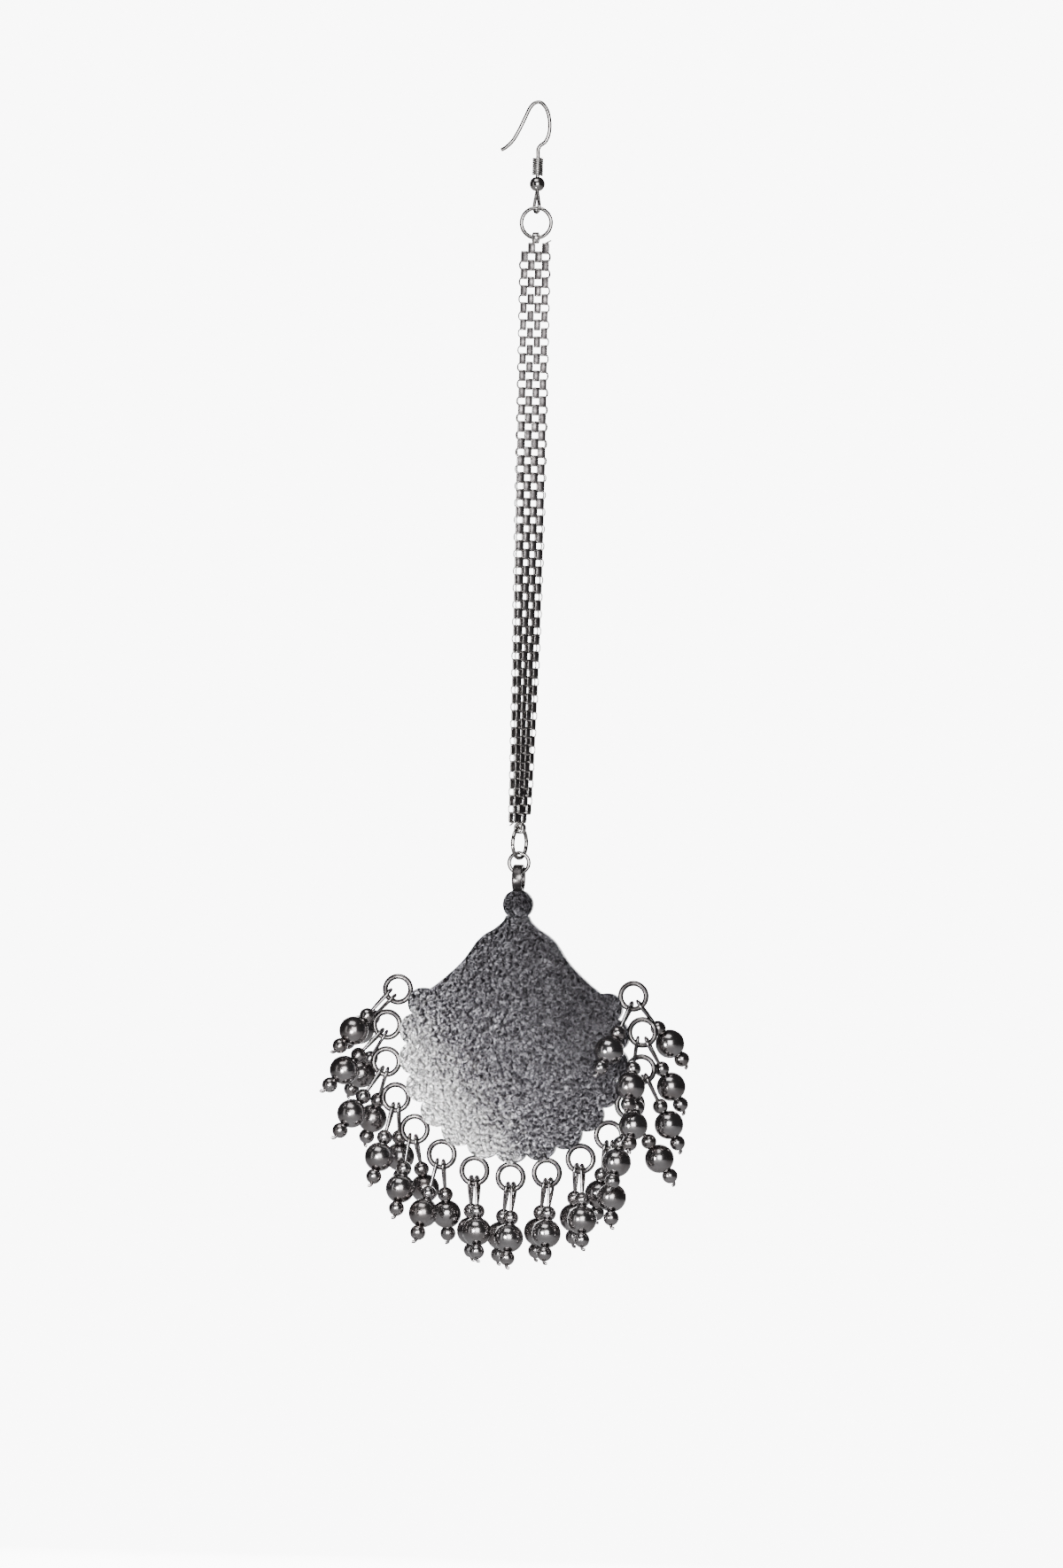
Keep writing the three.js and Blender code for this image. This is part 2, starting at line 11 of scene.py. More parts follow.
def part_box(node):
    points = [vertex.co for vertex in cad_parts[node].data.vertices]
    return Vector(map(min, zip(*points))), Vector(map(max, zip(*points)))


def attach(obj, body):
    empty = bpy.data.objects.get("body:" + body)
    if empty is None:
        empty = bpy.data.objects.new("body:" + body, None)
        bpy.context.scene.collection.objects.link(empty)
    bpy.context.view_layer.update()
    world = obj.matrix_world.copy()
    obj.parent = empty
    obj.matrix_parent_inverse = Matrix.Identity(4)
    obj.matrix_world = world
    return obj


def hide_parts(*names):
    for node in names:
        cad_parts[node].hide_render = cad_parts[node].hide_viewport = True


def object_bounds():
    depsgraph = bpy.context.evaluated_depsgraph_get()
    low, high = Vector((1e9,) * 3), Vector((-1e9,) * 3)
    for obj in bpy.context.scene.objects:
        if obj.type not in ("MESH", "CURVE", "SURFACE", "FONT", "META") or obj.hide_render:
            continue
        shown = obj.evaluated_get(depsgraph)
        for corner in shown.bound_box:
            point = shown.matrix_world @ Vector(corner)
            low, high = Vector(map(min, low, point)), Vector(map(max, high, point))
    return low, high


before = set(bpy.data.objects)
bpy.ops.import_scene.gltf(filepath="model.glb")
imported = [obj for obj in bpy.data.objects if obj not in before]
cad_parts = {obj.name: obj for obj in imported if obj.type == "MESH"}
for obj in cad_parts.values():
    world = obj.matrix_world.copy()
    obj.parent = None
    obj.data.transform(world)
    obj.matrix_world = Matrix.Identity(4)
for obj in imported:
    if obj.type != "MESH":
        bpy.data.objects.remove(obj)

bl_info = {
    "name": "Maang Tikka",
    "version": (1, 0, 0),
    "blender": (4, 5, 0),
    "location": "View3D > Sidebar > Tikka",
    "description": "Models a maang tikka with a woven chain and bead drops",
    "category": "Add Mesh",
}

MM = 0.001
cad_bounds = [list(corner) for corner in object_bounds()]

# Width and height of the photographed picture, and how its pixels lie on the ornament
PICTURE = {"width": 1200, "height": 1770, "per_mm": 6.4, "origin_x": 609, "origin_y": 118}

# The hook's route as shares of its reaches and its drop, from the free tip to the shank
HOOK_ROUTE = [
    {"side": -1.0, "down": 1.14},
    {"side": -0.87, "down": 1.07},
    {"side": -0.7, "down": 0.92},
    {"side": -0.55, "down": 0.7},
    {"side": -0.37, "down": 0.36},
    {"side": -0.24, "down": 0.12},
    {"side": -0.12, "down": 0.015},
    {"side": 0.08, "down": 0.0},
    {"side": 0.6, "down": 0.13},
    {"side": 0.9, "down": 0.33},
    {"side": 1.0, "down": 0.56},
    {"side": 0.92, "down": 0.76},
    {"side": 0.62, "down": 0.93},
    {"side": 0.18, "down": 1.02},
    {"side": 0.0, "down": 1.1},
]

# The plate's shoulder as shares of its half width and of the rise from the shelf to the neck
SHOULDER = [
    {"out": 1.0, "up": 0.0},
    {"out": 0.843, "up": 0.142},
    {"out": 0.64, "up": 0.362},
    {"out": 0.56, "up": 0.478},
    {"out": 0.47, "up": 0.634},
    {"out": 0.38, "up": 0.74},
    {"out": 0.255, "up": 0.83},
    {"out": 0.157, "up": 0.933},
    {"out": 0.128, "up": 1.0},
]

# Points of one lobe of the plate's edge as shares of its half width, and how round it is
LOBE_SHARES = [-1.0, -0.9, -0.78, -0.62, -0.42, -0.2, 0.0, 0.2, 0.42, 0.62, 0.78, 0.9]
LOBE_BLUNT = 0.92

# Points worked out between two points of a route
STEPS = {
    "hook": 9,
    "hook_eye": 6,
    "coil_turn": 22,
    "bow": 3,
    "spur": 4,
    "shoulder": 4,
    "drop_eye": 5,
    "end": 4,
}

# The weave's joining wires. A tie slopes across a column's edge, and a bow bulges past each hole at
# the band's sides. They are shares of the pitch, the row, the strap, the link and the bow's reach.
TIE = {"across": 0.45, "slope": 0.16, "drop": 0.25}
BOW = {"bulge": 0.34 * MM, "shoulder": 0.45, "bite": 1.2, "out": 0.38, "depth": 0.35, "wire": 0.8}

# How the band's course is measured: slices, how far from its ends, and half a slice's height.
# The last two are in thicknesses of the band.
SLICES = {"count": 24, "margin": 4, "half": 1.2}

# A pierced ball's lip, as shares: the part of the bore's radius that is cut open, how far the lip
# is drawn inward and along the bore, and how deep the bore's wall then goes
LIP = {"cut": 0.9, "inward": 0.62, "along": 0.94, "deep": 0.4}

# The strap that holds each end ring
HOLD = {"width": 1.1 * MM, "room": 0.25 * MM, "strap": 0.42 * MM, "edge": 0.08 * MM}

# The cut ends of wire beside the band's ends: their reach and how far below the end they start
SPUR = {"reach": 1.0 * MM, "drop": 0.3 * MM}

# Where light is painted on the plate's back: a near-white painted highlight at its lower left, and
# painted glints on its grain that thin out away from the lower left. The way that both grow, each
# mask's middle and reach, the highlight's colour and the glints' gain. The drop is from the plate's top.
PAINTED_LIGHT_TOWARDS = math.radians(-142)
PAINTED_HIGHLIGHT_PATCH = {"x": -11.5 * MM, "drop": 44.5 * MM, "reach": 10.5 * MM, "ragged": 1.8, "scale": 1100}
PAINTED_GLINT_SIDE = {"x": -2 * MM, "drop": 33 * MM, "reach": 20 * MM, "ragged": 0.5, "scale": 200}
PAINTED_HIGHLIGHT_COLOUR = (0.94, 0.93, 0.92)
PAINTED_GLINT_GAIN = 7

# How bright the page and the space round it are to the camera alone
PAGE_LIGHT = 9
SPACE = (0.06, 0.058, 0.06)

# The lamps: their place, the point that they face, and their width, height and power in watts
PENDANT = (0, 0, -0.168)
MIDDLE = (0, 0, -0.1)
HIGHLIT_SIDE = (-0.017, 0, -0.185)
LAMPS = [
    {
        "name": "Overhead",
        "place": (-0.1, -0.35, 0.55),
        "facing": MIDDLE,
        "size": (0.5, 0.35),
        "power": 3,
    },
    {
        "name": "Front",
        "place": (0.2, -0.95, 0),
        "facing": PENDANT,
        "size": (0.5, 0.5),
        "power": 11,
    },
    {
        "name": "Plate glow",
        "place": (-0.038, -0.118, -0.185),
        "facing": HIGHLIT_SIDE,
        "size": (0.026, 0.026),
        "power": 0.2,
    },
    {
        "name": "Left fill",
        "place": (-0.6, -0.45, -0.1),
        "facing": MIDDLE,
        "size": (0.12, 0.7),
        "power": 0.4,
    },
    {
        "name": "Back fill",
        "place": (-0.165, 0.935, 0),
        "facing": PENDANT,
        "size": (0.6, 0.6),
        "power": 9,
    },
]

# The camera: its turn about the ornament in degrees, its sideways lean for each unit of height,
# and its distance
CAMERA = {"azimuth": 10, "lean": 0.027, "distance": 2.0}

# The floor: its width, how far it lies below the ornament, its thickness and its rounded edge
FLOOR = {"width": 6, "below": 0.12, "thick": 0.02, "edge": 0.008}


def length(label, text, value):
    """A size in metres that the sidebar shows as a length."""
    return FloatProperty(name=label, description=text, default=value, min=0, unit="LENGTH")


class TikkaHook(bpy.types.PropertyGroup):
    """Sizes of the ear hook, its coil and its ball."""

    wire: length("Wire", "Diameter of the hook's wire", 0.7 * MM)
    reach_left: length("Reach left", "From the shank to the free tip", 6.65 * MM)
    reach_right: length("Reach right", "From the shank to the bend's far side", 1.95 * MM)
    drop: length("Drop", "Height of the bend above the shank", 7.5 * MM)
    eye_wire: length("Eye wire", "Diameter of the eye's wire", 0.6 * MM)
    eye_width: length("Eye width", "Outer width of the eye", 2.7 * MM)
    eye_turn: FloatProperty(
        name="Eye turn",
        description="Turn of the eye about the shank",
        default=math.radians(35),
        subtype="ANGLE",
    )
    eye_root: length("Eye root", "How far the eye's wire goes into the hook's", 0.55 * MM)
    turns: IntProperty(name="Turns", description="Turns of the coil", default=9, min=2)
    bore: length("Bore", "Hole through the ball", 1.2 * MM)


class TikkaChain(bpy.types.PropertyGroup):
    """Sizes of the woven band."""

    columns: IntProperty(name="Columns", description="Columns of links", default=4, min=1)
    rows: IntProperty(name="Rows", description="Links in one column", default=34, min=2)
    pitch: length("Pitch", "Width of one column", 1.24 * MM)
    link_width: length("Link width", "Width of a link's strap", 1.12 * MM)
    link_height: length("Link height", "Height of a link", 2.02 * MM)
    thickness: length("Thickness", "Thickness of the band", 1.4 * MM)
    strap: length("Strap", "Thickness of the strap", 0.26 * MM)
    wire: length("Wire", "Diameter of the joining wires", 0.3 * MM)


class TikkaPlate(bpy.types.PropertyGroup):
    """Sizes of the plate, its disc, its bail and its rim rings."""

    thickness: length("Thickness", "Thickness of the plate's floor", 1.2 * MM)
    border_height: length("Border height", "Height of the front border", 0.8 * MM)
    border_width: length("Border width", "Width of the front border", 0.9 * MM)
    cusp_radius: length("Cusp radius", "From the centre to a notch", 19.1 * MM)
    lobe_rise: length("Lobe rise", "How far a lobe stands out past its notches", 1.6 * MM)
    shoulder: length("Shoulder", "Half width at the shelf", 15.4 * MM)
    shelf_rise: length("Shelf rise", "From the centre to the shelf", 9.6 * MM)
    neck_rise: length("Neck rise", "From the centre to the neck", 23.0 * MM)
    disc: length("Disc", "Diameter of the disc", 5.3 * MM)
    disc_rise: length("Disc rise", "From the centre to the disc", 25.0 * MM)
    edge: length("Edge", "Width of the rounded edges", 0.16 * MM)
    rings: IntProperty(name="Rings", description="Rim rings", default=15, min=3)
    ring_pitch: FloatProperty(
        name="Ring pitch",
        description="Angle between two rim rings",
        default=math.radians(16.3),
        subtype="ANGLE",
    )
    ring_outer: length("Ring", "Outer diameter of a rim ring", 5.5 * MM)
    ring_wire: length("Ring wire", "Diameter of a rim ring's wire", 0.95 * MM)
    ring_bite: length("Ring bite", "How far a ring is let into its lobe", 0.35 * MM)
    bail_outer: length("Bail", "Outer diameter of the bail", 4.9 * MM)
    bail_wall: length("Bail wall", "Thickness of the bail's strap", 0.6 * MM)
    bail_width: length("Bail width", "Width of the bail's strap", 1.7 * MM)
    bail_solder: length("Bail solder", "How far the bail is let into the disc", 0.45 * MM)


class TikkaDrop(bpy.types.PropertyGroup):
    """Sizes of one bead drop."""

    wire: length("Wire", "Diameter of the wire", 0.6 * MM)
    small: length("Small bead", "Diameter of the small beads", 2.74 * MM)
    large: length("Large bead", "Diameter of the large bead", 5.14 * MM)
    pitch: length("Pitch", "From one bead to the next", 3.75 * MM)
    eye_length: length("Eye length", "From the eye's middle to the first bead", 5.3 * MM)
    eye_radius: length("Eye radius", "Radius of the eye at its crown", 1.205 * MM)
    eye_root: length("Eye root", "How far the eye's wire goes into the bead", 0.45 * MM)
    waist: length("Waist", "Half width of the small bead's flat top", 0.55 * MM)
    end_length: length("End", "Length of the wire's end", 0.7 * MM)
    flick: length("Flick", "How far the wire's end is turned aside", 0.6 * MM)


class TikkaLooks(bpy.types.PropertyGroup):
    """Colours of the metals and of the floor."""

    bright: FloatVectorProperty(
        name="Bright silver",
        description="Colour of the hook and the rings above the plate",
        default=(0.46, 0.443, 0.43),
        subtype="COLOR",
    )
    oxide: FloatVectorProperty(
        name="Oxide",
        description="Colour of the darkened silver",
        default=(0.016, 0.015, 0.017),
        subtype="COLOR",
    )
    plate: FloatVectorProperty(
        name="Plate",
        description="Colour of the plate's worn silver",
        default=(0.052, 0.051, 0.055),
        subtype="COLOR",
    )
    bead: FloatVectorProperty(
        name="Bead",
        description="Colour of the beads",
        default=(0.33, 0.318, 0.322),
        subtype="COLOR",
    )
    page: FloatVectorProperty(
        name="Page",
        description="Colour of the floor",
        default=(0.5, 0.5, 0.505),
        subtype="COLOR",
    )


class TikkaSettings(bpy.types.PropertyGroup):
    """All the sizes and colours of the ornament."""

    hook: PointerProperty(type=TikkaHook)
    chain: PointerProperty(type=TikkaChain)
    plate: PointerProperty(type=TikkaPlate)
    drop: PointerProperty(type=TikkaDrop)
    looks: PointerProperty(type=TikkaLooks)


# What is measured on the frame


def node_points(node):
    """The different points of a frame node's mesh."""
    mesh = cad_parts[node].data
    flat = np.empty(len(mesh.vertices) * 3)
    mesh.vertices.foreach_get("co", flat)
    return np.unique(flat.reshape(-1, 3).round(7), axis=0)


def main_axes(points):
    """The middle of some points and their axes, the longest first."""
    middle = points.mean(axis=0)
    return middle, np.linalg.svd(points - middle, full_matrices=False)[2]


def ring_place(node):
    """The middle, axis and outer radius of a ring of wire."""
    points = node_points(node)
    middle, axes = main_axes(points)
    normal = axes[2]
    away = points - middle
    flat = away - np.outer(away @ normal, normal)
    return Vector(middle), Vector(normal), float(np.linalg.norm(flat, axis=1).max())


def drop_place(node, sizes):
    """The frame of a bead drop: its origin in the eye, Z up its wire and Y across its eye."""
    points = node_points(node)
    middle, axes = main_axes(points)
    along = (points - middle) @ axes[0]
    aside = np.linalg.norm(points - middle - np.outer(along, axes[0]), axis=1)
    widest = along[aside.argmax()]
    up = axes[0] if along.max() - widest > widest - along.min() else -axes[0]
    above_foot = (points - middle) @ up
    above_foot -= above_foot.min()
    full = foot_depth(sizes)
    beads, bead_axes = main_axes(points[above_foot < full - sizes.eye_length])
    up = bead_axes[0] if bead_axes[0] @ up > 0 else -bead_axes[0]
    foot = ((points - beads) @ up).min()
    origin = beads + up * (foot + full)
    eye = points[above_foot > full - sizes.eye_length * 0.6] - origin
    eye -= np.outer(eye @ up, up)
    depth = np.linalg.svd(eye, full_matrices=False)[2][0]
    across = np.cross(depth, up)
    place = Matrix((across, depth, up)).transposed().to_4x4()
    place.translation = Vector(origin)
    return place


def foot_depth(sizes):
    """How far a drop's end lies below its eye's middle."""
    return sizes.eye_length + 2 * sizes.pitch + sizes.small / 2 + sizes.end_length


def band_course(sizes):
    """The woven band's ends, and its middle and turn at any height, fitted to the frame."""
    points = node_points("mesh_chain")
    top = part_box("top_jump_ring")[0].z
    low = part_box("lower_link")[1].z
    margin = SLICES["margin"] * sizes.thickness
    half = SLICES["half"] * sizes.thickness
    heights = np.linspace(low + margin, top - margin, SLICES["count"])
    middles = []
    turns = []
    for height in heights:
        near = points[abs(points[:, 2] - height) < half]
        middle, axes = main_axes(near[:, :2])
        middles.append(middle)
        turns.append(math.atan2(axes[0][1], axes[0][0]))
    turns = np.unwrap(np.array(turns) * 2) / 2
    middles = np.array(middles)
    fits = [np.polyfit(heights, middles[:, i], 3) for i in (0, 1)]
    turn_fit = np.polyfit(heights, turns, 1)

    def course(height):
        middle = Vector((np.polyval(fits[0], height), np.polyval(fits[1], height), height))
        return middle, float(np.polyval(turn_fit, height))

    return low, top, course


# Ways of modelling that several pieces share


def only(piece):
    """Leaves one piece selected and active."""
    bpy.ops.object.select_all(action="DESELECT")
    piece.select_set(True)
    bpy.context.view_layer.objects.active = piece
    return piece


def added(name):
    """Names the primitive that was added last, and leaves nothing else selected."""
    piece = only(bpy.context.object)
    piece.name = name
    piece.data.name = name
    return piece


def fix_place(piece):
    """Puts a piece's place into its mesh."""
    only(piece)
    bpy.ops.object.transform_apply(location=True, rotation=True, scale=True)
    return piece


def joined(pieces, name):
    """Joins pieces into the first of them."""
    bpy.ops.object.select_all(action="DESELECT")
    for piece in pieces:
        piece.select_set(True)
    bpy.context.view_layer.objects.active = pieces[0]
    bpy.ops.object.join()
    return added(name)


def finish_with(piece, kind, **settings):
    """Adds a modifier with some settings and applies it."""
    only(piece)
    modifier = piece.modifiers.new(kind.title(), kind)
    for key, value in settings.items():
        setattr(modifier, key, value)
    bpy.ops.object.modifier_apply(modifier=modifier.name)
    return piece


def face_outward():
    """Turns all the faces of the mesh in edit mode outward, and leaves edit mode."""
    bpy.ops.mesh.select_all(action="SELECT")
    bpy.ops.mesh.normals_make_consistent(inside=False)
    bpy.ops.object.mode_set(mode="OBJECT")


def smoothed(piece, angle):
    """Smooth shading, with the edges sharper than an angle left sharp."""
    only(piece)
    bpy.ops.object.shade_smooth_by_angle(angle=math.radians(angle))
    return piece


def copied(piece, place):
    """A copy with its own mesh, put at a place."""
    twin = piece.copy()
    twin.data = piece.data.copy()
    bpy.context.scene.collection.objects.link(twin)
    twin.data.transform(place)
    return twin


def removed(piece):
    """Takes a model away once it has been copied."""
    only(piece)
    bpy.ops.object.delete()


def course_points(route, steps):
    """Points on the smooth centripetal curve through a route."""
    points = [Vector(point) for point in route]
    points = [2 * points[0] - points[1], *points, 2 * points[-1] - points[-2]]
    found = []
    for before, start, end, after in zip(points, points[1:], points[2:], points[3:]):
        first = max(math.sqrt((start - before).length), 1e-6)
        second = max(math.sqrt((end - start).length), 1e-6)
        third = max(math.sqrt((after - end).length), 1e-6)
        leave = (start - before) / first - (end - before) / (first + second) + (end - start) / second
        reach = (end - start) / second - (after - start) / (second + third) + (after - end) / third
        for step in range(steps):
            t = step / steps
            found.append(
                start * (2 * t**3 - 3 * t**2 + 1)
                + end * (3 * t**2 - 2 * t**3)
                + leave * second * (t**3 - 2 * t**2 + t)
                + reach * second * (t**3 - t**2)
            )
    found.append(points[-2])
    return found


def wire(name, points, diameter, round_steps, radii=None):
    """A round wire through points, as a mesh."""
    bpy.ops.curve.primitive_nurbs_path_add()
    piece = added(name)
    curve = piece.data
    curve.splines.clear()
    curve.twist_mode = "MINIMUM"
    curve.bevel_depth = diameter / 2
    curve.bevel_resolution = round_steps
    curve.use_fill_caps = True
    spline = curve.splines.new("POLY")
    spline.points.add(len(points) - 1)
    for i, point in enumerate(points):
        spline.points[i].co = (*point, 1)
        spline.points[i].radius = radii[i] if radii else 1
    bpy.ops.object.convert(target="MESH")
    return smoothed(added(name), 60)


def ring(name, middle, normal, outer, thick, around=72, across=18):
    """A ring of round wire."""
    bpy.ops.mesh.primitive_torus_add(
        major_segments=around,
        minor_segments=across,
        major_radius=outer - thick / 2,
        minor_radius=thick / 2,
        location=middle,
        rotation=normal.to_track_quat("Z", "Y").to_euler(),
    )
    return smoothed(fix_place(added(name)), 60)


def pierced_ball(name, radius, bore, height, around=32, rows=20):
    """A ball with a hole along Z, whose lips turn into the hole."""
    bpy.ops.mesh.primitive_uv_sphere_add(
        segments=around, ring_count=rows, radius=radius, location=(0, 0, height)
    )
    piece = fix_place(added(name))
    bpy.ops.object.mode_set(mode="EDIT")
    bpy.ops.mesh.select_mode(type="VERT")
    bpy.ops.mesh.select_all(action="DESELECT")
    bpy.ops.object.mode_set(mode="OBJECT")
    for vertex in piece.data.vertices:
        vertex.select = math.hypot(vertex.co.x, vertex.co.y) < LIP["cut"] * bore
    bpy.ops.object.mode_set(mode="EDIT")
    bpy.ops.mesh.delete(type="VERT")
    bpy.ops.mesh.select_all(action="SELECT")
    bpy.ops.mesh.region_to_loop()
    bpy.ops.mesh.extrude_edges_move()
    inward = LIP["inward"]
    bpy.ops.transform.resize(value=(inward, inward, LIP["along"]), center_override=(0, 0, height))
    bpy.ops.mesh.extrude_edges_move()
    bpy.ops.transform.resize(value=(1, 1, LIP["deep"]), center_override=(0, 0, height))
    face_outward()
    return smoothed(piece, 50)


def strap_loop(name, width, outer, wall, around=40):
    """A loop of flat strap with its hole along X."""
    bpy.ops.mesh.primitive_cylinder_add(
        vertices=around,
        radius=outer,
        depth=width,
        end_fill_type="NOTHING",
        rotation=(0, math.radians(90), 0),
    )
    piece = fix_place(added(name))
    finish_with(piece, "SOLIDIFY", thickness=wall, offset=-1)
    return piece


# Finishes


def node_group(name, inputs, outputs):
    """A shader group with float sockets, and its two end nodes."""
    group = bpy.data.node_groups.new(name, "ShaderNodeTree")
    for label, value in inputs.items():
        socket = group.interface.new_socket(name=label, in_out="INPUT", socket_type="NodeSocketFloat")
        socket.default_value = value
    for label in outputs:
        group.interface.new_socket(name=label, in_out="OUTPUT", socket_type="NodeSocketFloat")
    start = group.nodes.new("NodeGroupInput")
    end = group.nodes.new("NodeGroupOutput")
    return group, start, end


def tarnish_group():
    """Clouds of oxide: a mask from 0, worn bright, to 1, dark."""
    group, start, end = node_group("Tarnish", {"Scale": 300, "From": 0.4, "To": 0.6}, ["Mask"])
    nodes = group.nodes
    link = group.links.new
    place = nodes.new("ShaderNodeTexCoord")
    noise = nodes.new("ShaderNodeTexNoise")
    noise.inputs["Detail"].default_value = 5
    spread = nodes.new("ShaderNodeMapRange")
    link(place.outputs["Object"], noise.inputs["Vector"])
    link(start.outputs["Scale"], noise.inputs["Scale"])
    link(noise.outputs["Fac"], spread.inputs["Value"])
    link(start.outputs["From"], spread.inputs["From Min"])
    link(start.outputs["To"], spread.inputs["From Max"])
    link(spread.outputs["Result"], end.inputs["Mask"])
    return group


def sweep_group():
    """A mask that falls off from 0 to 1 across the ornament, in a direction of the XZ plane."""
    values = {"Angle": 0, "Middle X": 0, "Middle Z": 0, "Reach": 0.02, "Ragged": 0.2, "Scale": 1000}
    group, start, end = node_group("Sweep", values, ["Mask"])
    nodes = group.nodes
    link = group.links.new
    place = nodes.new("ShaderNodeTexCoord")
    middle = nodes.new("ShaderNodeCombineXYZ")
    away = nodes.new("ShaderNodeVectorMath")
    away.operation = "SUBTRACT"
    turn = nodes.new("ShaderNodeVectorRotate")
    turn.rotation_type = "Y_AXIS"
    parts = nodes.new("ShaderNodeSeparateXYZ")
    noise = nodes.new("ShaderNodeTexNoise")
    noise.inputs["Detail"].default_value = 4
    centred = nodes.new("ShaderNodeMath")
    centred.operation = "SUBTRACT"
    centred.inputs[1].default_value = 0.5
    wander = nodes.new("ShaderNodeMath")
    wander.operation = "MULTIPLY"
    share = nodes.new("ShaderNodeMath")
    share.operation = "DIVIDE"
    total = nodes.new("ShaderNodeMath")
    total.operation = "ADD"
    spread = nodes.new("ShaderNodeMapRange")
    spread.interpolation_type = "SMOOTHSTEP"
    spread.inputs["From Min"].default_value = -1
    link(start.outputs["Middle X"], middle.inputs["X"])
    link(start.outputs["Middle Z"], middle.inputs["Z"])
    link(place.outputs["Object"], away.inputs[0])
    link(middle.outputs["Vector"], away.inputs[1])
    link(away.outputs["Vector"], turn.inputs["Vector"])
    link(start.outputs["Angle"], turn.inputs["Angle"])
    link(turn.outputs["Vector"], parts.inputs["Vector"])
    link(parts.outputs["X"], share.inputs[0])
    link(start.outputs["Reach"], share.inputs[1])
    link(place.outputs["Object"], noise.inputs["Vector"])
    link(start.outputs["Scale"], noise.inputs["Scale"])
    link(noise.outputs["Fac"], centred.inputs[0])
    link(centred.outputs["Value"], wander.inputs[0])
    link(start.outputs["Ragged"], wander.inputs[1])
    link(share.outputs["Value"], total.inputs[0])
    link(wander.outputs["Value"], total.inputs[1])
    link(total.outputs["Value"], spread.inputs["Value"])
    link(spread.outputs["Result"], end.inputs["Mask"])
    return group


def grain_group():
    """Fine hammered grain, as a height, and the same grain as a mask."""
    group, start, end = node_group("Grain", {"Scale": 2000, "Pits": 0.5}, ["Height", "Mask"])
    nodes = group.nodes
    link = group.links.new
    place = nodes.new("ShaderNodeTexCoord")
    noise = nodes.new("ShaderNodeTexNoise")
    noise.inputs["Detail"].default_value = 2.5
    noise.inputs["Distortion"].default_value = 0.6
    cells = nodes.new("ShaderNodeTexVoronoi")
    cells.feature = "SMOOTH_F1"
    mixed = nodes.new("ShaderNodeMix")
    mask = nodes.new("ShaderNodeMapRange")
    mask.inputs["From Min"].default_value = 0.35
    mask.inputs["From Max"].default_value = 0.65
    link(place.outputs["Object"], noise.inputs["Vector"])
    link(place.outputs["Object"], cells.inputs["Vector"])
    link(start.outputs["Scale"], noise.inputs["Scale"])
    link(start.outputs["Scale"], cells.inputs["Scale"])
    link(start.outputs["Pits"], mixed.inputs["Factor"])
    link(noise.outputs["Fac"], mixed.inputs["A"])
    link(cells.outputs["Distance"], mixed.inputs["B"])
    link(mixed.outputs["Result"], end.inputs["Height"])
    link(noise.outputs["Fac"], mask.inputs["Value"])
    link(mask.outputs["Result"], end.inputs["Mask"])
    return group


def group_node(nodes, group, **values):
    """A group put into a material with its own values."""
    node = nodes.new("ShaderNodeGroup")
    node.node_tree = group
    for label, value in values.items():
        node.inputs[label].default_value = value
    return node


def bare_metal(name):
    """A metal without a finish, and its shader."""
    material = bpy.data.materials.new(name)
    material.use_nodes = True
    shader = material.node_tree.nodes["Principled BSDF"]
    shader.inputs["Metallic"].default_value = 1
    return material, shader


def colour_mix(tree, mask, low, high):
    """A colour that a mask moves from low to high. Low is a colour or the socket of one."""
    colour = tree.nodes.new("ShaderNodeMix")
    colour.data_type = "RGBA"
    colour.inputs["B"].default_value = (*high, 1)
    tree.links.new(mask, colour.inputs["Factor"])
    if isinstance(low, bpy.types.NodeSocket):
        tree.links.new(low, colour.inputs["A"])
    else:
        colour.inputs["A"].default_value = (*low, 1)
    return colour.outputs["Result"]


def relief_of(tree, shader, grain, strength, depth):
    """Gives a metal its grain as relief, and hands back the grain's mask."""
    fine = group_node(tree.nodes, GROUPS["grain"], **grain)
    relief = tree.nodes.new("ShaderNodeBump")
    relief.inputs["Strength"].default_value = strength
    relief.inputs["Distance"].default_value = depth
    tree.links.new(fine.outputs["Height"], relief.inputs["Height"])
    tree.links.new(relief.outputs["Normal"], shader.inputs["Normal"])
    return fine.outputs["Mask"]


def gloss_by(tree, shader, mask, low, high):
    """Roughness that a mask moves from low to high."""
    gloss = tree.nodes.new("ShaderNodeMapRange")
    gloss.inputs["To Min"].default_value = low
    gloss.inputs["To Max"].default_value = high
    tree.links.new(mask, gloss.inputs["Value"])
    tree.links.new(gloss.outputs["Result"], shader.inputs["Roughness"])


def silver(name, worn, dark, tarnish, grain, roughness, bump):
    """Silver between a worn and a dark colour. Tarnish and grain hold the two groups' values."""
    material, shader = bare_metal(name)
    tree = material.node_tree
    clouds = group_node(tree.nodes, GROUPS["tarnish"], **tarnish).outputs["Mask"]
    tree.links.new(colour_mix(tree, clouds, worn, dark), shader.inputs["Base Color"])
    gloss_by(tree, shader, clouds, *roughness)
    relief_of(tree, shader, grain, *bump)
    return material


def painted_light_mask(tree, lit_patch):
    """One mask of the plate's painted light, from 0 to 1 towards its lower left."""
    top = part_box("pendant_plate")[1].z
    values = {
        "Angle": PAINTED_LIGHT_TOWARDS,
        "Middle X": lit_patch["x"],
        "Middle Z": top - lit_patch["drop"],
        "Reach": lit_patch["reach"],
        "Ragged": lit_patch["ragged"],
        "Scale": lit_patch["scale"],
    }
    return group_node(tree.nodes, GROUPS["sweep"], **values).outputs["Mask"]


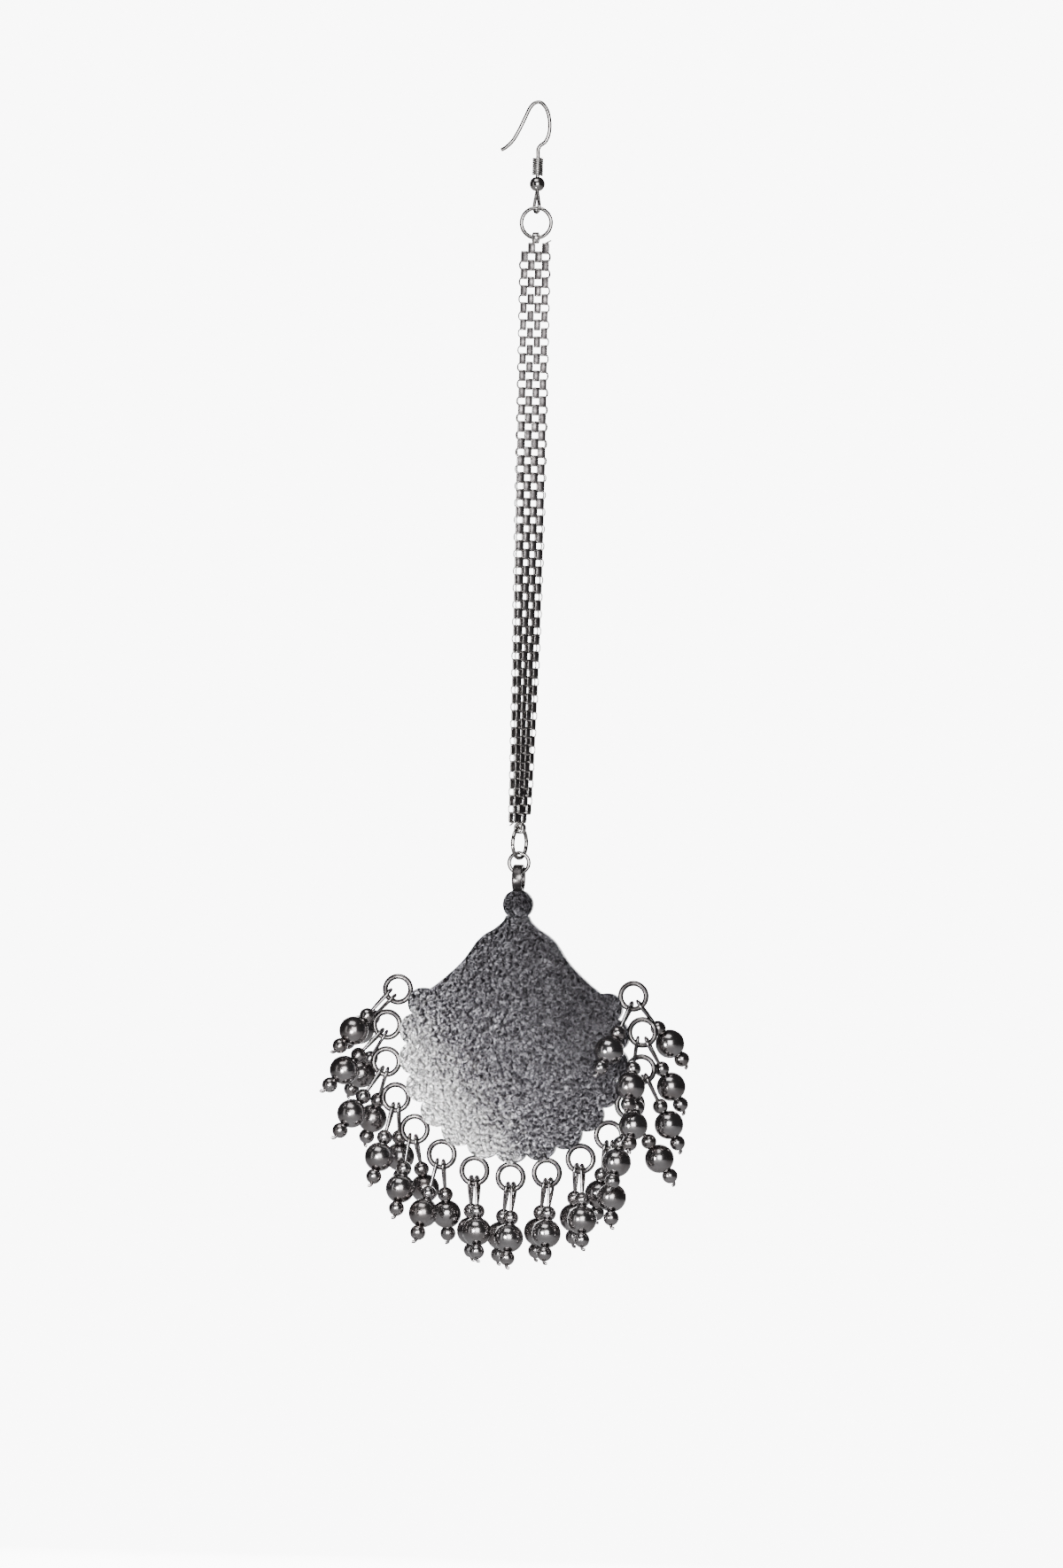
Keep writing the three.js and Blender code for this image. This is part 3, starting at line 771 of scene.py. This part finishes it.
def plate_with_painted_light(looks):
    """The plate's grained silver: painted glints on its grain over dark oxide, and a near-white painted
    highlight at the lower left.
    """
    material, shader = bare_metal("Oxidised plate with painted light")
    tree = material.node_tree
    link = tree.links.new
    clouds = group_node(tree.nodes, GROUPS["tarnish"], Scale=260, From=0.25, To=0.8).outputs["Mask"]
    fine = relief_of(tree, shader, {"Scale": 1600, "Pits": 0.5}, 1, 0.8 * MM)
    # Painted highlight: the mask of the near-white patch at the lower left
    painted_highlight_mask = painted_light_mask(tree, PAINTED_HIGHLIGHT_PATCH)
    # Painted glints: the brightest grain is lit up, and more of it towards the lower left
    glint_dots = tree.nodes.new("ShaderNodeMath")
    glint_dots.operation = "POWER"
    glint_dots.inputs[1].default_value = 2.4
    share = tree.nodes.new("ShaderNodeMapRange")
    share.inputs["To Min"].default_value = 0.06
    shown = tree.nodes.new("ShaderNodeMath")
    shown.operation = "MULTIPLY"
    link(fine, glint_dots.inputs[0])
    link(painted_light_mask(tree, PAINTED_GLINT_SIDE), share.inputs["Value"])
    link(glint_dots.outputs["Value"], shown.inputs[0])
    link(share.outputs["Result"], shown.inputs[1])
    ground = colour_mix(tree, clouds, looks.oxide, looks.plate)
    painted_glint_colour = [PAINTED_GLINT_GAIN * value for value in looks.plate]
    with_painted_glints = colour_mix(tree, shown.outputs["Value"], ground, painted_glint_colour)
    # Painted highlight: near-white silver laid over the lower left
    worn = colour_mix(tree, painted_highlight_mask, with_painted_glints, PAINTED_HIGHLIGHT_COLOUR)
    link(worn, shader.inputs["Base Color"])
    gloss_by(tree, shader, painted_highlight_mask, 0.28, 0.42)
    return material


GROUPS = {}
METALS = {}


def make_metals(looks):
    """Every finish of the ornament, made once."""
    GROUPS["tarnish"] = tarnish_group()
    GROUPS["grain"] = grain_group()
    GROUPS["sweep"] = sweep_group()
    bright = tuple(looks.bright)
    METALS["wire"] = silver(
        "Polished wire",
        bright,
        tuple(0.3 * value for value in bright),
        {"Scale": 420, "From": 0.4, "To": 0.75},
        {"Scale": 2600, "Pits": 0.3},
        (0.12, 0.22),
        (0.12, 0.02 * MM),
    )
    METALS["chain"] = silver(
        "Woven strap",
        tuple(1.3 * value for value in bright),
        (0.16, 0.15, 0.15),
        {"Scale": 700, "From": 0.5, "To": 0.8},
        {"Scale": 3000, "Pits": 0.3},
        (0.2, 0.36),
        (0.15, 0.03 * MM),
    )
    # Painted shade: a darker copy of the strap silver for the links' flat front and back faces
    METALS["face"] = silver(
        "Strap face painted shade",
        (0.2, 0.185, 0.185),
        (0.06, 0.055, 0.056),
        {"Scale": 900, "From": 0.35, "To": 0.7},
        {"Scale": 3000, "Pits": 0.3},
        (0.3, 0.45),
        (0.2, 0.03 * MM),
    )
    METALS["plate"] = plate_with_painted_light(looks)
    METALS["rim"] = silver(
        "Oxidised ring",
        (0.2, 0.188, 0.184),
        (0.05, 0.046, 0.047),
        {"Scale": 520, "From": 0.32, "To": 0.56},
        {"Scale": 1300, "Pits": 0.5},
        (0.2, 0.36),
        (0.3, 0.08 * MM),
    )
    METALS["bead"] = silver(
        "Bead silver",
        tuple(looks.bead),
        (0.17, 0.142, 0.134),
        {"Scale": 260, "From": 0.42, "To": 0.8},
        {"Scale": 900, "Pits": 0.4},
        (0.17, 0.27),
        (0.12, 0.04 * MM),
    )


def dress(piece, finish, body):
    """Gives a piece the body that it rides on and, unless it has one, its finish."""
    if finish:
        piece.data.materials.clear()
        piece.data.materials.append(METALS[finish])
    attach(piece, body)
    return piece


# The pieces


def eye_route(radius, tip):
    """A teardrop in the YZ plane, round about its middle and drawn out to a tip below."""
    side = math.copysign(1, tip)
    leg = [(0, 0, tip), (0, 0.42 * radius, 0.62 * tip), (0, 0.86 * radius, 0.22 * tip)]
    crown = []
    for angle in (10, 50, 90, 130, 170):
        turn = math.radians(angle)
        crown.append((0, radius * math.cos(turn), -side * radius * math.sin(turn)))
    back = [(0, -y, z) for _, y, z in reversed(leg)]
    return [*leg, *crown, *back]


def model_hook(sizes):
    """The hook's bent wire and the eye below its ball."""
    bend = sizes.wire / 2
    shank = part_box("hook_coil")[1].z
    ball_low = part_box("hook_ball")[0].z
    route = []
    for row in HOOK_ROUTE:
        reach = sizes.reach_left if row["side"] < 0 else sizes.reach_right
        route.append((row["side"] * reach, 0, bend - row["down"] * sizes.drop))
    eye_top = ball_low - sizes.wire / 2
    route.append((0, 0, shank))
    route.append((0, 0, eye_top))
    path = course_points(route, STEPS["hook"])
    radii = [1.0] * len(path)
    radii[0] = 0.7
    body = wire("ear_hook_wire", path, sizes.wire, round_steps=4, radii=radii)
    radius = (sizes.eye_width - sizes.eye_wire) / 2
    eye_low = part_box("ear_hook")[0].z + sizes.eye_wire / 2
    middle = eye_low + radius
    tip = eye_top + sizes.eye_root - middle
    loop = course_points(eye_route(radius, tip), STEPS["hook_eye"])
    eye = wire("ear_hook_eye", loop, sizes.eye_wire, round_steps=4)
    turn = Matrix.Rotation(sizes.eye_turn, 4, "Z")
    eye.data.transform(Matrix.Translation((0, 0, middle)) @ turn)
    piece = joined([body, eye], "ear_hook_dressed")
    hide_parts("ear_hook")
    return dress(piece, "wire", "chain")


def model_coil(sizes):
    """The coil's helix of wire."""
    low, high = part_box("hook_coil")
    pitch = (high.z - low.z) / (sizes.turns + 1)
    thick = pitch * 0.98
    radius = (high.y - low.y - thick) / 2
    points = []
    for i in range(sizes.turns * STEPS["coil_turn"] + 1):
        turn = i / STEPS["coil_turn"]
        angle = turn * 2 * math.pi
        height = high.z - pitch / 2 - turn * pitch
        points.append((radius * math.cos(angle), radius * math.sin(angle), height))
    piece = wire("hook_coil_dressed", points, thick, round_steps=2)
    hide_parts("hook_coil")
    return dress(piece, "wire", "chain")


def model_ball(sizes):
    """The ball below the coil."""
    low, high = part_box("hook_ball")
    half_bore = sizes.bore / 2
    half_height = (high.z - low.z) / 2
    radius = math.hypot(half_height, half_bore)
    piece = pierced_ball("hook_ball_dressed", radius, half_bore, (low.z + high.z) / 2)
    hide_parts("hook_ball")
    return dress(piece, "wire", "chain")


def model_rings(sizes):
    """The three round rings above and below the chain."""
    for node in ("top_jump_ring", "lower_link", "lower_ring"):
        middle, normal, outer = ring_place(node)
        piece = ring(f"{node}_dressed", middle, normal, outer, sizes.wire)
        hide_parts(node)
        dress(piece, "wire", "chain")


def chain_link(sizes):
    """One link: a flat strap bent to a loop with straight sides."""
    bpy.ops.mesh.primitive_cylinder_add(
        vertices=16,
        radius=1,
        depth=sizes.link_width,
        end_fill_type="NOTHING",
        rotation=(0, math.radians(90), 0),
    )
    link = fix_place(added("link"))
    for vertex in link.data.vertices:
        _, y, z = vertex.co
        vertex.co.y = math.copysign(abs(y) ** 0.5, y) * sizes.thickness / 2
        vertex.co.z = math.copysign(abs(z) ** 0.5, z) * sizes.link_height / 2
    finish_with(link, "SOLIDIFY", thickness=sizes.strap, offset=-1)
    finish_with(link, "BEVEL", width=0.06 * MM, segments=1, limit_method="ANGLE")
    link.data.materials.append(METALS["chain"])
    link.data.materials.append(METALS["face"])
    # Painted shade: faces that face front or back take the darker copy, the rounded top and bottom the
    # brighter one
    for face in link.data.polygons:
        face.material_index = int(abs(face.normal.y) > 0.9)
    return smoothed(link, 50)


def band_place(course, height, aside, forward=0.0):
    """The frame of the band at a height, at a distance from its middle."""
    middle, turn = course(height)
    spin = Matrix.Rotation(turn, 4, "Z")
    return Matrix.Translation(middle) @ spin @ Matrix.Translation((aside, forward, 0))


def model_chain(sizes, ring_wire):
    """The woven band: columns of strap links, each other one half a row lower."""
    low, high, course = band_course(sizes)
    row = (high - low) / (sizes.rows + 0.5)
    parts = []
    link = chain_link(sizes)
    across = TIE["across"] * sizes.pitch
    fall = TIE["slope"] * row
    slope = wire("tie", [(-across, 0, fall), (across, 0, -fall)], sizes.wire, round_steps=1)
    reach = (row - sizes.link_height) / 2 + BOW["bite"] * sizes.strap
    bulge = BOW["bulge"]
    bend = BOW["shoulder"] * reach
    bow = course_points([(0, 0, reach), (bulge, 0, bend), (bulge, 0, -bend), (0, 0, -reach)], STEPS["bow"])
    bridge = wire("bridge", bow, BOW["wire"] * sizes.wire, round_steps=1)
    edge = (sizes.columns - 1) / 2
    for column in range(sizes.columns):
        aside = (column - edge) * sizes.pitch
        shift = 0.5 * row * (column % 2)
        outer = abs(column - edge) == edge
        for i in range(sizes.rows):
            height = high - shift - (i + 0.5) * row
            parts.append(copied(link, band_place(course, height, aside)))
            if column + 1 < sizes.columns:
                side = -1 if column % 2 else 1
                tie = band_place(course, height - side * TIE["drop"] * row, aside + sizes.pitch / 2)
                parts.append(copied(slope, tie @ Matrix.Scale(side, 4, (1, 0, 0))))
            if outer and i + 1 < sizes.rows:
                side = math.copysign(1, aside)
                out = aside + side * BOW["out"] * sizes.link_width
                depth = BOW["depth"] * sizes.thickness
                for forward in (-depth, depth):
                    place = band_place(course, height - row / 2, out, forward)
                    parts.append(copied(bridge, place @ Matrix.Scale(side, 4, (1, 0, 0))))
    parts += chain_ends(sizes, ring_wire, course, low, high)
    for model in (link, slope, bridge):
        removed(model)
    for part in parts:
        if not part.data.materials:
            part.data.materials.append(METALS["chain"])
    piece = joined(parts, "mesh_chain_woven")
    bpy.ops.object.mode_set(mode="EDIT")
    face_outward()
    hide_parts("mesh_chain")
    return dress(piece, None, "chain")


def chain_ends(sizes, ring_wire, course, low, high):
    """The strap round the ring at each end, and the cut ends of wire beside them."""
    parts = []
    for node, top in (("top_jump_ring", True), ("lower_link", False)):
        middle, _, outer = ring_place(node)
        height = middle.z + (-1 if top else 1) * (outer - ring_wire / 2)
        outside = ring_wire / 2 + HOLD["room"] + HOLD["strap"]
        hold = strap_loop(f"hold_{node}", HOLD["width"], outside, HOLD["strap"], around=24)
        finish_with(hold, "BEVEL", width=HOLD["edge"], segments=1, limit_method="ANGLE")
        smoothed(hold, 50)
        turn = course(high if top else low)[1]
        hold.data.transform(Matrix.Translation((0, 0, height)) @ Matrix.Rotation(turn, 4, "Z"))
        parts.append(hold)
    edge = (sizes.columns - 1) / 2 * sizes.pitch
    spurs = ((high, -1, 0.5), (low + 0.3 * sizes.link_height, 1, -0.4))
    for height, side, slant in spurs:
        out = side * SPUR["reach"]
        rise = slant * SPUR["reach"]
        route = [(0, 0, -0.6 * rise), (out / 2, 0, 0), (out, 0, rise / 2)]
        spur = wire("spur", course_points(route, STEPS["spur"]), sizes.wire, round_steps=1)
        spur.data.transform(band_place(course, height - SPUR["drop"], side * edge))
        parts.append(spur)
    return parts


def scallop_line(sizes):
    """The plate's whole outline about the scallop's centre, as X and Z."""
    last = (sizes.rings - 1) / 2
    tip = sizes.cusp_radius + sizes.lobe_rise
    shelf = math.hypot(sizes.shoulder, sizes.shelf_rise)
    lowest = math.sqrt(1 - LOBE_BLUNT**2)
    line = []

    def lobe_point(lobe, share):
        angle = (lobe + share / 2) * sizes.ring_pitch
        beyond = abs(lobe) == last and share * lobe > 0
        foot = shelf if beyond else sizes.cusp_radius
        bulge = (math.sqrt(1 - (LOBE_BLUNT * share) ** 2) - lowest) / (1 - lowest)
        radius = foot + (tip - foot) * bulge
        return radius * math.sin(angle), -radius * math.cos(angle)

    for i in range(sizes.rings):
        for share in LOBE_SHARES:
            line.append(lobe_point(i - last, share))
    line.append(lobe_point(last, 1))
    rise = sizes.neck_rise - sizes.shelf_rise
    route = []
    for row in SHOULDER:
        route.append((row["out"] * sizes.shoulder, 0, sizes.shelf_rise + row["up"] * rise))
    right = [(point.x, point.z) for point in course_points(route, STEPS["shoulder"])][1:]
    return [*line, *right, *[(-x, z) for x, z in reversed(right)]]


def plate_slab(sizes, name):
    """The plate: its outline drawn out to a slab, with a pocket sunk into its front."""
    line = scallop_line(sizes)
    bpy.ops.mesh.primitive_circle_add(vertices=len(line), radius=sizes.cusp_radius, fill_type="NGON")
    piece = added(name)
    back = -sizes.thickness / 2
    for vertex, (x, z) in zip(piece.data.vertices, line):
        vertex.co = (x, back, z)
    bpy.ops.object.mode_set(mode="EDIT")
    bpy.ops.mesh.select_mode(type="FACE")
    bpy.ops.mesh.select_all(action="SELECT")
    depth = sizes.thickness + sizes.border_height
    bpy.ops.mesh.extrude_region_move(TRANSFORM_OT_translate={"value": (0, depth, 0)})
    bpy.ops.mesh.inset(thickness=sizes.border_width)
    bpy.ops.transform.translate(value=(0, -sizes.border_height, 0))
    face_outward()
    finish_with(piece, "BEVEL", width=sizes.edge, segments=2, limit_method="ANGLE", angle_limit=0.7)
    return smoothed(piece, 35)


def plate_disc(sizes, name):
    """The disc above the neck."""
    bpy.ops.mesh.primitive_cylinder_add(
        vertices=64,
        radius=sizes.disc / 2,
        depth=sizes.thickness + sizes.border_height,
        location=(0, sizes.border_height / 2, sizes.disc_rise),
        rotation=(math.radians(90), 0, 0),
    )
    piece = fix_place(added(name))
    finish_with(piece, "BEVEL", width=1.6 * sizes.edge, segments=3, limit_method="ANGLE")
    return smoothed(piece, 35)


def model_plate(sizes):
    """The plate with its disc, its bail and its rim rings, which are soldered together."""
    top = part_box("pendant_plate")[1].z
    rise = sizes.bail_outer - sizes.bail_solder + sizes.disc / 2 + sizes.disc_rise
    to_centre = Matrix.Translation((0, 0, top - rise))
    body = [plate_slab(sizes, "slab"), plate_disc(sizes, "disc")]
    for part in body:
        part.data.materials.append(METALS["plate"])
    bail = strap_loop("bail", sizes.bail_width, sizes.bail_outer / 2, sizes.bail_wall)
    finish_with(bail, "BEVEL", width=0.15 * MM, segments=2, limit_method="ANGLE")
    smoothed(bail, 40)
    bail.data.transform(Matrix.Translation((0, 0, rise - sizes.bail_outer / 2)))
    bail.data.materials.append(METALS["rim"])
    rim = []
    reach = sizes.cusp_radius + sizes.lobe_rise - sizes.ring_bite + sizes.ring_outer / 2
    for i in range(sizes.rings):
        angle = (i - (sizes.rings - 1) / 2) * sizes.ring_pitch
        middle = Vector((reach * math.sin(angle), 0, -reach * math.cos(angle)))
        loop = ring(f"rim_{i}", middle, Vector((0, 1, 0)), sizes.ring_outer / 2, sizes.ring_wire, 44, 14)
        loop.data.materials.append(METALS["rim"])
        rim.append(loop)
    piece = joined([*body, bail, *rim], "pendant_plate_dressed")
    piece.data.transform(to_centre)
    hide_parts("pendant_plate")
    return dress(piece, None, "pendant")


def drop_model(sizes):
    """One bead drop about its eye: the eye, three pierced beads and the wire's turned end."""
    small = sizes.small / 2
    large = sizes.large / 2
    first = -sizes.eye_length
    last = first - 2 * sizes.pitch
    hole = sizes.wire * 0.55
    top = first + math.sqrt(small**2 - sizes.waist**2)
    loop = course_points(eye_route(sizes.eye_radius, top - sizes.eye_root), STEPS["drop_eye"])
    eye = wire("eye", loop, sizes.wire, round_steps=2)
    beads = [
        pierced_ball("bead_upper", small, hole, first, 24, 16),
        pierced_ball("bead_large", large, hole, first - sizes.pitch, 36, 24),
        pierced_ball("bead_lower", small, hole, last, 24, 16),
    ]
    core = wire("core", [(0, 0, top), (0, 0, last)], 0.9 * sizes.wire, round_steps=1)
    foot = -foot_depth(sizes)
    flick = sizes.flick
    bend = (0.35 * flick, 0, foot + 0.25 * MM)
    turned = [(0, 0, last), (0, 0, last - small), bend, (flick, 0, foot + 0.2 * MM)]
    end = wire("end", course_points(turned, STEPS["end"]), sizes.wire, round_steps=2)
    return joined([eye, *beads, core, end], "drop")


def model_drops(sizes):
    """Two bead drops on each rim ring."""
    model = drop_model(sizes)
    names = sorted(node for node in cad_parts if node.startswith("drop_"))
    if not names:
        raise RuntimeError("the frame has no bead drops")
    for node in names:
        piece = copied(model, drop_place(node, sizes))
        piece.name = f"{node}_dressed"
        piece.data.name = piece.name
        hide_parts(node)
        dress(piece, "bead", "pendant")
    removed(model)


# The stage


def page_material(colour):
    """The pale floor, which the camera sees as white as the space round it."""
    material = bpy.data.materials.new("Page")
    material.use_nodes = True
    tree = material.node_tree
    shader = tree.nodes["Principled BSDF"]
    shader.inputs["Base Color"].default_value = (*colour, 1)
    shader.inputs["Roughness"].default_value = 0.9
    shader.inputs["Emission Strength"].default_value = PAGE_LIGHT
    seen = tree.nodes.new("ShaderNodeLightPath").outputs["Is Camera Ray"]
    glow = colour_mix(tree, seen, (0, 0, 0), (1, 1, 1))
    tree.links.new(glow, shader.inputs["Emission Color"])
    return material


def model_stage(looks):
    """A pale floor some way below the hanging ornament."""
    lowest = cad_bounds[0][2]
    place = (0, 0, lowest - FLOOR["below"])
    bpy.ops.mesh.primitive_plane_add(size=FLOOR["width"], location=place)
    piece = fix_place(added("stage_page"))
    bpy.ops.object.mode_set(mode="EDIT")
    bpy.ops.mesh.select_all(action="SELECT")
    bpy.ops.mesh.extrude_region_move(TRANSFORM_OT_translate={"value": (0, 0, -FLOOR["thick"])})
    face_outward()
    finish_with(piece, "BEVEL", width=FLOOR["edge"], segments=4)
    smoothed(piece, 60)
    piece.data.materials.append(page_material(tuple(looks.page)))


def soft_light(name, place, facing, size, power):
    """A soft four-sided lamp turned to a point."""
    lamp = bpy.data.lights.new(name, "AREA")
    lamp.shape = "RECTANGLE"
    lamp.size = size[0]
    lamp.size_y = size[1]
    lamp.energy = power
    holder = bpy.data.objects.new(name, lamp)
    bpy.context.scene.collection.objects.link(holder)
    holder.location = place
    holder.rotation_euler = (Vector(facing) - Vector(place)).to_track_quat("-Z", "Y").to_euler()
    holder.visible_camera = False


def model_space():
    """The space round the ornament: white to the camera and dim to everything else."""
    world = bpy.data.worlds.new("Studio")
    bpy.context.scene.world = world
    world.use_nodes = True
    tree = world.node_tree
    seen = tree.nodes.new("ShaderNodeLightPath").outputs["Is Camera Ray"]
    white = colour_mix(tree, seen, SPACE, [PAGE_LIGHT] * 3)
    tree.links.new(white, tree.nodes["Background"].inputs["Color"])


def place_camera():
    """The camera at the photograph's angle: far away, beside the plate's back and rolled a little."""
    azimuth = math.radians(CAMERA["azimuth"])
    lean = CAMERA["lean"]
    roll = math.atan(lean)
    distance = CAMERA["distance"]
    height = PICTURE["height"] / PICTURE["per_mm"] * MM
    right = Vector((math.cos(azimuth), math.sin(azimuth), 0))
    back = Vector((math.sin(azimuth), -math.cos(azimuth), 0))
    up = Vector((0, 0, 1))
    from_left = PICTURE["width"] / 2 - PICTURE["origin_x"]
    from_top = PICTURE["height"] / 2 - PICTURE["origin_y"]
    across = (from_left + from_top * lean) / PICTURE["per_mm"] * MM
    down = (from_top - from_left * lean) / PICTURE["per_mm"] * MM
    target = right * across - up * down
    lens = bpy.data.cameras.new("Camera")
    lens.sensor_fit = "VERTICAL"
    lens.sensor_height = 24
    lens.lens = lens.sensor_height * distance / height
    lens.clip_start = 0.05
    lens.clip_end = 20
    camera = bpy.data.objects.new("Camera", lens)
    bpy.context.scene.collection.objects.link(camera)
    side = right * math.cos(roll) + up * math.sin(roll)
    above = up * math.cos(roll) - right * math.sin(roll)
    place = Matrix((side, above, back)).transposed().to_4x4()
    place.translation = target + back * distance
    camera.matrix_world = place
    bpy.context.scene.camera = camera


class TIKKA_OT_hook(bpy.types.Operator):
    """Models the ear hook's wire, its coil and its ball"""

    bl_idname = "tikka.hook"
    bl_label = "Ear Hook"

    def execute(self, context):
        sizes = context.scene.tikka.hook
        model_hook(sizes)
        model_coil(sizes)
        model_ball(sizes)
        return {"FINISHED"}


class TIKKA_OT_rings(bpy.types.Operator):
    """Models the jump ring, the lower link and the lower ring"""

    bl_idname = "tikka.rings"
    bl_label = "Rings"

    def execute(self, context):
        model_rings(context.scene.tikka.hook)
        return {"FINISHED"}


class TIKKA_OT_chain(bpy.types.Operator):
    """Models the woven mesh chain"""

    bl_idname = "tikka.chain"
    bl_label = "Mesh Chain"

    def execute(self, context):
        model_chain(context.scene.tikka.chain, context.scene.tikka.hook.wire)
        return {"FINISHED"}


class TIKKA_OT_plate(bpy.types.Operator):
    """Models the plate with its disc, bail and rim rings"""

    bl_idname = "tikka.plate"
    bl_label = "Plate"

    def execute(self, context):
        model_plate(context.scene.tikka.plate)
        return {"FINISHED"}


class TIKKA_OT_drops(bpy.types.Operator):
    """Models the bead drops on the rim rings"""

    bl_idname = "tikka.drops"
    bl_label = "Bead Drops"

    def execute(self, context):
        model_drops(context.scene.tikka.drop)
        return {"FINISHED"}


class TIKKA_OT_stage(bpy.types.Operator):
    """Builds the page, the lights and the camera"""

    bl_idname = "tikka.stage"
    bl_label = "Stage"

    def execute(self, context):
        model_stage(context.scene.tikka.looks)
        model_space()
        for lamp in LAMPS:
            soft_light(**lamp)
        place_camera()
        return {"FINISHED"}


class TIKKA_PT_panel(bpy.types.Panel):
    """Lists the ornament's pieces in the sidebar"""

    bl_idname = "TIKKA_PT_panel"
    bl_label = "Maang Tikka"
    bl_space_type = "VIEW_3D"
    bl_region_type = "UI"
    bl_category = "Tikka"

    def draw(self, context):
        for operator in OPERATORS:
            self.layout.operator(operator.bl_idname)


GROUP_CLASSES = (TikkaHook, TikkaChain, TikkaPlate, TikkaDrop, TikkaLooks, TikkaSettings)
OPERATORS = (
    TIKKA_OT_hook,
    TIKKA_OT_rings,
    TIKKA_OT_chain,
    TIKKA_OT_plate,
    TIKKA_OT_drops,
    TIKKA_OT_stage,
)
CLASSES = (*GROUP_CLASSES, *OPERATORS, TIKKA_PT_panel)


def register():
    for item in CLASSES:
        bpy.utils.register_class(item)
    bpy.types.Scene.tikka = PointerProperty(type=TikkaSettings)


def unregister():
    del bpy.types.Scene.tikka
    for item in reversed(CLASSES):
        bpy.utils.unregister_class(item)


def main():
    """Registers the add-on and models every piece."""
    register()
    make_metals(bpy.context.scene.tikka.looks)
    bpy.ops.tikka.hook()
    bpy.ops.tikka.rings()
    bpy.ops.tikka.chain()
    bpy.ops.tikka.plate()
    bpy.ops.tikka.drops()
    bpy.ops.tikka.stage()


if __name__ == "__main__":
    main()
